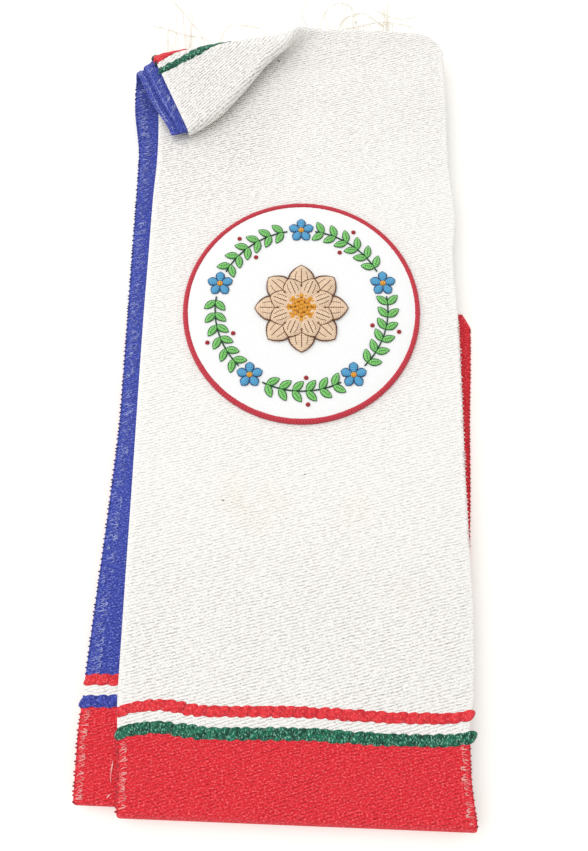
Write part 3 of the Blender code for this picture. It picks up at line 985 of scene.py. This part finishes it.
def borderThread():
    finish = Finish("borderThread", roughness=0.55, sheen=0.1)
    place = finish.uvPlace("ribs")
    u, v, _ = finish.parts(place)
    rib = u.ridge().step(0.45, 1.0)
    # painted shade: the rim's rounded sides are darkened, on top of the darker grooves between its
    # wraps
    side = ((v - 0.5).math("ABSOLUTE") * 2).step(0.62, 1.0)
    fibre = finish.noise(finish.stretch(place, (1.0, 0.15, 1.0)), 0.3, 2.0)
    dark = (rib * 0.6 + side * 0.65).math("MINIMUM", 1.0)
    colour = finish.mix(dark, patch["red"], patch["redGroovesAndShade"])
    return finish.paint(colour, 1.0 - rib * 0.6 + fibre * 0.3, depth=0.0002, strength=0.8)


def makeBorder():
    shape = bmesh.new()
    uvLayer = shape.loops.layers.uv.new("ribs")
    sides, perRib, foot = 8, 4, 0.0004
    steps = patch["ribs"] * perRib
    half, low = patch["borderWidth"] / 2, -patch["gap"]
    middle = patch["diameter"] / 2 - half
    chance = random.Random(7)
    wobbles = [chance.uniform(-1, 1) for _ in range(patch["ribs"])]
    rings = []
    for i in range(steps):
        angle = 2 * pi * i / steps
        rib = 0.5 - 0.5 * cos(2 * pi * (i % perRib) / perRib)
        grow = 1 - patch["ribDepth"] / half * (1 - rib)
        grow *= 1 + 0.05 * wobbles[i // perRib] * rib
        profile = []
        for k in range(sides + 1):
            turn = pi * k / sides
            up = low + foot + (patch["borderHeight"] * grow - foot) * sin(turn)
            profile.append((middle + half * grow * cos(turn), up))
        profile += [(middle + way * half * grow, low) for way in (-1, 1)]
        rings.append([
            shape.verts.new(onPatch(*turned(0, 0, angle, far), up)) for far, up in profile
        ])
    count = sides + 3
    for i, ring in enumerate(rings):
        nextRing = rings[(i + 1) % steps]
        for k in range(count):
            after = (k + 1) % count
            corners = (
                (ring[k], 0, k), (ring[after], 0, k + 1),
                (nextRing[after], 1, k + 1), (nextRing[k], 1, k),
            )
            face = shape.faces.new([vert for vert, _, _ in corners])
            for loop, (_, onNext, around) in zip(face.loops, corners):
                loop[uvLayer].uv = ((i + onNext) / perRib, min(around, sides) / sides)
    bmesh.ops.recalc_face_normals(shape, faces=shape.faces)
    return dressed("patch_rim", shape, borderThread(), "border_thread", "patch_border")


patchDisc = makeDisc()
patchRim = makeBorder()
print("patch made")

# Embroidery: a tan bloom with a gold heart, and a garland of leaf sprigs and sky-blue flowers.
# Each colour is a thread and its shade. The bloom's cords are the radii of outline, vein and barb,
# the garland's those of stem, outline and vein; its leaf is length, half-width and turn
bloom = {
    "radius": 0.0200,
    "petals": 8,
    "height": 0.0011,
    "rings": ((0.0050, 1.0, 0.0056, 0.0002), (0.0035, 0.72, 0.0042, 0.0007)),
    "fullest": 0.58,
    "cords": (0.00026, 0.00020, 0.00015),
    "knots": ((0.0, 1), (0.0019, 6), (0.0037, 12), (0.0055, 18)),
    "knot": (0.0011, 0.0008),
    "knotLift": 0.0016,
    "knotFall": 0.08,
    "outlineLift": 0.0004,
    "veinSink": 0.00005,
    "barbShare": 0.48,
    "barbLift": 0.84,
    "tan": (screen(244, 218, 188), screen(208, 170, 136)),
    "gold": (screen(236, 170, 50), screen(206, 130, 30)),
    "brown": (screen(112, 62, 34), screen(84, 44, 24)),
}
garland = {
    "radius": 0.0370,
    "flowers": 5,
    "flower": 0.0056,
    "heart": 0.0006,
    "petal": (0.0019, 0.62),
    "leaves": 6,
    "leaf": (0.0060, 0.00155, radians(48)),
    "berry": (0.0058, 0.06, 0.0010),
    "cords": (0.00034, 0.00018, 0.00013),
    "rise": (0.0008, 0.0002),
    "centre": (0.0013, 0.0009, 0.0006),
    "outlineLift": 0.0003,
    "veinLift": 0.00095,
    "green": (screen(144, 222, 122), screen(78, 164, 76)),
    "greenLine": (screen(28, 88, 48), screen(18, 62, 34)),
    "sky": (screen(96, 178, 218), screen(44, 118, 178)),
    "navy": (screen(40, 78, 132), screen(26, 52, 96)),
    "centres": bloom["gold"],
    "berries": (screen(178, 34, 48), screen(130, 16, 30)),
}
satinPitch = 0.00078


def satin(name, colour, dark):
    # satin stitch: threads that lie side by side across the shape, with a soft shine
    finish = Finish(name, roughness=0.45, sheen=0.2)
    place = finish.uvPlace("stitch")
    u, _, _ = finish.parts(place)
    wobble = finish.noise(place, 0.0012, 1.0) - 0.5
    lay = (u / satinPitch + wobble * 0.5).ridge()
    patchy = finish.noise(finish.stretch(place, (1.0, 0.2, 1.0)), 0.0005, 2.0).step(0.3, 0.7)
    colours = finish.mix(patchy * 0.45 + lay.step(0.35, 0.95) * 0.75, colour, dark)
    return finish.paint(colours, 1.0 - lay, depth=0.00022, strength=0.9)


class Motif:
    # one embroidered piece, built from stitched leaves, knots and cords on the patch
    def __init__(self):
        self.shape = bmesh.new()
        self.uvLayer = self.shape.loops.layers.uv.new("stitch")

    def blade(self, x, y, angle, long, profile, high, low=0.0, rings=8, sides=8):
        made = bmesh.ops.create_uvsphere(
            self.shape, u_segments=sides, v_segments=rings, radius=1.0
        )
        places = {}
        for vert in made["verts"]:
            share = (1 - vert.co.z) / 2
            flat = max((1 - vert.co.z**2) ** 0.5, 1e-6)
            across, up = (vert.co.x / flat, vert.co.y / flat) if flat > 1e-3 else (0, 0)
            wide, along = profile(share), share * long
            places[vert] = (along, across * wide)
            rise = max(up, -0.25) * high * min(wide / 0.0012, 1.0)
            px, py = turned(x, y, angle, along, across * wide)
            vert.co = onPatch(px, py, patch["cloth"] + low + rise)
        faces = list({face for vert in made["verts"] for face in vert.link_faces})
        bmesh.ops.reverse_faces(self.shape, faces=faces)
        for face in faces:
            for loop in face.loops:
                loop[self.uvLayer].uv = places[loop.vert]

    def knot(self, x, y, radius, high, low=0.0):
        def ball(share):
            return radius * max(1 - (2 * share - 1) ** 2, 0.0) ** 0.5
        self.blade(x - radius, y, 0.0, 2 * radius, ball, high, low, 6, 8)

    def cord(self, points, radius, low=0.0):
        tube(self.shape, [onPatch(x, y, patch["cloth"] + low) for x, y in points], radius, 5)

    def finished(self, name, finish, slotName, *nodes):
        dressed(name, self.shape, finish, slotName, *nodes)


def leafProfile(half, fullest=0.45):
    # half-width of a blade along it, pointed at the tip
    def wide(share):
        if share < fullest:
            return half * sin(pi / 2 * share / fullest) ** 0.7
        return half * cos(pi / 2 * (share - fullest) / (1 - fullest)) ** 0.8
    return wide


def outlineOf(x, y, angle, long, profile, count=8):
    shares = [i / count for i in range(count + 1)]
    one, other = (
        [turned(x, y, angle, share * long, way * profile(share)) for share in shares]
        for way in (1, -1)
    )
    return one + other[-2::-1]


def makeBloom():
    petals, lines, heart = Motif(), Motif(), Motif()
    count, high = bloom["petals"], bloom["height"]
    outline, midVein, barb = bloom["cords"]
    for ring, (start, reach, half, low) in enumerate(bloom["rings"]):
        profile = leafProfile(half, bloom["fullest"])
        for i in range(count):
            angle = 2 * pi * (i + ring / 2) / count
            x, y = turned(0, 0, angle, start)
            long = bloom["radius"] * reach - start
            petals.blade(x, y, angle, long, profile, high, low, 11, 12)
            edge = outlineOf(x, y, angle, long, profile, 14)
            lines.cord(edge, outline, low + bloom["outlineLift"])
            vein = [turned(x, y, angle, t * long) for t in (0.3, 0.5, 0.7, 0.86)]
            lines.cord(vein, midVein, low + high - bloom["veinSink"])
            for side in (-bloom["barbShare"], bloom["barbShare"]):
                points = [turned(x, y, angle, t * long, side * profile(t))
                          for t in (0.36, 0.5, 0.64, 0.78)]
                lines.cord(points, barb, low + high * bloom["barbLift"])
    for ring, (far, number) in enumerate(bloom["knots"]):
        for i in range(number):
            x, y = turned(0, 0, 2 * pi * i / number + ring * 0.4, far)
            heart.knot(x, y, *bloom["knot"], bloom["knotLift"] - far * bloom["knotFall"])
    petals.finished("bloom_satin_petals", satin("tanSatin", *bloom["tan"]), "tan_thread",
                    "bloom_petals")
    lines.finished("bloom_outlines", threadFinish("brownCord", *bloom["brown"]), "tan_thread")
    heart.finished("bloom_gold_knots", satin("goldSatin", *bloom["gold"]), "gold_thread",
                   "bloom_heart")


def makeGarland():
    leaves, lines, flowers, centres, rims, berries = (Motif() for _ in range(6))
    radius, count, heart = garland["radius"], garland["flowers"], garland["heart"]
    petal, halfFlower = garland["flower"] - heart, (garland["flower"] + heart) / radius
    petalProfile = leafProfile(*garland["petal"])
    leaf, leafHalf, leafTurn = garland["leaf"]
    leafShape = leafProfile(leafHalf)
    aside, berryTurn, berry = garland["berry"]
    stem, outline, midVein = garland["cords"]
    lift, rise = garland["outlineLift"], garland["rise"]
    for i in range(count):
        angle = pi / 2 + 2 * pi * i / count
        fx, fy = turned(0, 0, angle, radius)
        for k in range(5):
            turn = angle + 2 * pi * k / 5
            x, y = turned(fx, fy, turn, heart)
            flowers.blade(x, y, turn, petal, petalProfile, *rise)
            rims.cord(outlineOf(x, y, turn, petal, petalProfile), outline, lift)
        centres.knot(fx, fy, *garland["centre"])
        first, last = angle + halfFlower, angle + 2 * pi / count - halfFlower
        points = [turned(0, 0, first + (last - first) * k / 12, radius) for k in range(13)]
        lines.cord(points, stem, lift)
        for k in range(garland["leaves"]):
            at = first + (last - first) * (k + 0.35) / garland["leaves"]
            x, y = turned(0, 0, at, radius)
            for way in (1, -1):
                lean = at + pi / 2 - way * leafTurn
                leaves.blade(x, y, lean, leaf, leafShape, *rise)
                lines.cord(outlineOf(x, y, lean, leaf, leafShape), outline, lift)
                vein = [turned(x, y, lean, along) for along in (0.0012, 0.0028, 0.0044)]
                lines.cord(vein, midVein, garland["veinLift"])
        for way in (1, -1):
            x, y = turned(0, 0, (first + last) / 2 + berryTurn, radius + way * aside)
            berries.knot(x, y, berry, *rise)
    leafNodes = [f"leaf_sprig_{i + 1}" for i in range(count)]
    flowerNodes = [f"blue_flower_{i + 1}" for i in range(count)]
    for motif, name, finish, colours, slotName, nodes in (
        (leaves, "garland_leaves", satin, "green", "leaf_thread", leafNodes),
        (lines, "garland_outlines", threadFinish, "greenLine", "leaf_thread", []),
        (flowers, "garland_flowers", satin, "sky", "sky_thread", flowerNodes),
        (rims, "flower_outlines", threadFinish, "navy", "sky_thread", []),
        (centres, "flower_knots", satin, "centres", "gold_thread", []),
        (berries, "garland_berries", satin, "berries", "border_thread", []),
    ):
        motif.finished(name, finish(colours + "Thread", *garland[colours]), slotName, *nodes)


makeBloom()
makeGarland()
print("embroidery made")

# Stitching along the long edges. Each colour is a thread and its shade; rows give the inset and
# reach of hooks; bits are loose white thread caught between the two feet
stitching = {
    "pitch": 0.0017,
    "reach": 0.0012,
    "thread": 0.00024,
    "hookThread": 0.00013,
    "hookReach": 0.0031,
    "chainStep": 0.0010,
    "tailFrom": 0.01,
    "footStart": 0.001,
    "paleRun": (0.10, 0.006),
    "mossRun": (0.318, 0.3355),
    "pastTurn": 0.004,
    "chainLap": 0.002,
    "skyRows": ((0.0003, 0.0031), (0.0016, 0.0031), (0.0030, 0.0024)),
    "bits": (
        [(-0.0666, 0.0222), (-0.0670, 0.0189), (-0.0672, 0.0170), (-0.0669, 0.0148)],
        [(-0.0681, 0.0099), (-0.0674, 0.0106), (-0.0667, 0.0112)],
    ),
    "red": (screen(196, 46, 56), screen(150, 42, 48)),
    "pale": (screen(238, 230, 226), screen(204, 180, 178)),
    "pink": (screen(250, 196, 188), screen(240, 120, 122)),
    "navy": (screen(44, 54, 140), screen(34, 36, 92)),
    "sky": (screen(176, 186, 236), screen(96, 108, 196)),
    "moss": (screen(54, 84, 82), screen(30, 44, 62)),
}


def edgeLoops(shape, layer, side, low, high, chance, rough=1.0):
    # overlock loops that wrap the cloth's edge, from under it to a point inside its upper face
    way = 1 if side == 0 else -1
    y, thick = low, stitching["thread"]
    while y < high:
        edge = edgeOf(layer, side, y)
        reach = stitching["reach"] * chance.uniform(0.75, 1.1)
        lean = chance.uniform(-0.5, 0.5) * stitching["pitch"]
        out = thick * chance.uniform(0.2, 2.4) * rough
        corners = [
            (1, reach, lean, -thick * 0.5), (1, reach * 0.5, lean * 0.5, thick * 0.2),
            (1, 0.0002, 0, thick * 0.3), (1, -out, 0, -halfCloth * 0.8),
        ]
        if layer > 1:
            corners += [(-1, -out * 0.6, 0, -halfCloth * 0.6), (-1, 0.0010, 0, thick * 0.3)]
        points = [onCloth(layer, face, edge + way * inside, y + along, lift)
                  for face, inside, along, lift in corners]
        tube(shape, points, [thick * share for share in (0.5, 0.8, 1.2, 1.5, 1.2, 0.8)])
        y += stitching["pitch"] * chance.uniform(0.6, 1.5)


def hookRow(shape, layer, face, low, high, inset, reach, chance, kept, side=0):
    # the looper's thread: slanting hooks between the edge and a line inside it, some worn away
    way = 1 if side == 0 else -1
    y, thick = low, stitching["hookThread"]
    while y < high:
        near = inset + reach * chance.uniform(0.0, 0.35)
        far = inset + reach * chance.uniform(0.75, 1.1)
        lean = stitching["pitch"] * chance.uniform(-0.2, 0.9)
        turn = stitching["pitch"] * chance.uniform(0.3, 0.7)
        corners = [
            (near, y), ((near + far) / 2, y + lean * 0.7), (far, y + lean),
            (far + reach * 0.05, y + lean + turn * 0.5), (far - reach * 0.4, y + lean + turn),
        ]
        points = []
        for i, (across, along) in enumerate(corners):
            lift = thick * (1.2 if 0 < i < 4 else -0.3)
            x = edgeOf(layer, side, along) + way * across
            points.append(onCloth(layer, face, x, along, lift))
        if chance.random() < kept:
            tube(shape, points, [thick * share for share in (0.6, 1.0, 1.2, 1.1, 0.7)])
        y += stitching["pitch"] * chance.uniform(0.65, 1.35)


def chainLine(shape, layer, low, high, inset, chance):
    # one nearly straight thread along the left edge's turned face
    points, y = [], low
    while y < high:
        across = inset + chance.uniform(-1, 1) * 0.00016
        lift = stitching["hookThread"] * chance.uniform(-0.3, 1.2)
        points.append(onCloth(layer, -1, edgeOf(layer, 0, y) + across, y, lift))
        y += stitching["chainStep"]
    tube(shape, points, stitching["hookThread"])


def looseBits(shape):
    for path in stitching["bits"]:
        points = [onCloth(5, 1, x, y, 0.0002) for x, y in path]
        tube(shape, points, [0.0002] + [0.00028] * (len(path) - 2) + [0.00018], 5)


def makeStitching():
    chance = random.Random(61)
    colours = ("red", "pale", "pink", "navy", "sky", "moss")
    red, pale, pink, navy, sky, moss = shapes = [bmesh.new() for _ in colours]
    reach, tail = stitching["hookReach"], bundle["tailLength"]
    for layer, side, end in ((6, 0, bottomEnd), (6, 1, bottomEnd), (5, 0, blueBottomEnd)):
        x = edgeOf(layer, side, 0.0)
        start, high = end(x), frontStripe(layer, x) - stripeRun
        low = start - stitching["footStart"]
        edgeLoops(red, layer, side, low, high, chance, 0.35 if side else 0.8)
        for _ in range(2):
            hookRow(pink, layer, 1, start, high, 0.0004, reach, chance, 0.75, side)
    edgeLoops(red, 1, 1, stitching["tailFrom"], tail - bundle["tailCorner"], chance, 0.2)
    looseBits(pink)
    edgeLoops(pale, 6, 1, stitching["paleRun"][0], tail - stitching["paleRun"][1], chance)
    low, turn = frontStripe(5, -width / 2), crease(-width / 2)
    edgeLoops(navy, 5, 0, low, turn, chance, 0.6)
    edgeLoops(moss, 3, 0, *stitching["mossRun"], chance)
    high, top = turn + stitching["pastTurn"], ridgeEnd(-0.55 * width) - stitching["footStart"]
    for inset, span in stitching["skyRows"]:
        hookRow(sky, 5, 1, low, high, inset, span, chance, 0.6)
    hookRow(sky, 4, -1, high, top, 0.0006, reach, chance, 0.6)
    hookRow(sky, 5, -1, high, top, 0.0003, 0.0018, chance, 0.7)
    for layer, inset in ((4, 0.0011), (5, 0.0020)):
        chainLine(sky, layer, high - stitching["chainLap"], top, inset, chance)
    names = ("red_edge_loops", "pale_edge_loops", "pink_edge_hooks", "navy_edge_loops",
             "sky_edge_hooks", "neck_edge_loops")
    slots = ("red_cloth", "white_cloth", "red_cloth", "blue_cloth", "blue_cloth", "green_cloth")
    for colour, shape, name, slotName in zip(colours, shapes, names, slots):
        finish = threadFinish(colour + "Stitch", *stitching[colour], size=0.002)
        dressed(name, shape, finish, slotName)


makeStitching()
print("stitching made")

# Table, light and camera, in metres, watts, radians and millimetres of lens
room = {
    "tableSize": 1.6,
    "tableDrop": 0.0001,
    "tableColours": (screen(250, 248, 244), screen(244, 240, 232)),
    "tablePaintedGlow": 0.12,
    "worldColour": (1.0, 0.995, 0.988, 1.0),
    "worldStrength": 0.87,
    "keyPlace": (-0.84, 0.56, 1.18),
    "keySize": 2.3,
    "keyPower": 14.0,
    "cameraPlace": (0.00127, -0.10044, 0.26315),
    "cameraTilt": 0.23405,
    "lens": 26.86,
}


def makeTable():
    shape = bmesh.new()
    bmesh.ops.create_grid(shape, x_segments=8, y_segments=8, size=room["tableSize"] / 2)
    bmesh.ops.translate(shape, vec=(0, 0, -room["tableDrop"]), verts=shape.verts)
    finish = Finish("paleTable", roughness=0.6)
    blotch = finish.noise(finish.objectPlace(), 0.15, 2.0)
    colour = finish.mix(blotch * 0.3, *room["tableColours"])
    # painted light: the table glows a little, which lifts the shadows that fall on it
    finish.shader.inputs["Emission Color"].default_value = room["tableColours"][0]
    finish.shader.inputs["Emission Strength"].default_value = room["tablePaintedGlow"]
    placed("table", shape, finish.paint(colour))


def makeLight():
    data = bpy.data.lights.new("softBox", "AREA")
    data.shape, data.size, data.energy = "DISK", room["keySize"], room["keyPower"]
    lamp = linked("softBox", data)
    lamp.location = room["keyPlace"]
    lamp.rotation_euler = (-Vector(room["keyPlace"])).to_track_quat("-Z", "Y").to_euler()
    world = bpy.data.worlds.new("studio")
    bpy.context.scene.world = world
    world.use_nodes = True
    background = world.node_tree.nodes["Background"]
    background.inputs["Color"].default_value = room["worldColour"]
    background.inputs["Strength"].default_value = room["worldStrength"]


def makeCamera():
    data = bpy.data.cameras.new("overhead")
    data.lens, data.sensor_width, data.sensor_fit = room["lens"], 36, "AUTO"
    data.clip_start, data.clip_end = 0.01, 10
    camera = linked("overhead", data)
    camera.location = room["cameraPlace"]
    camera.rotation_euler = (room["cameraTilt"], 0, 0)
    bpy.context.scene.camera = camera


makeTable()
makeLight()
makeCamera()
bpy.context.scene.view_settings.view_transform = "Standard"

print("scene done")
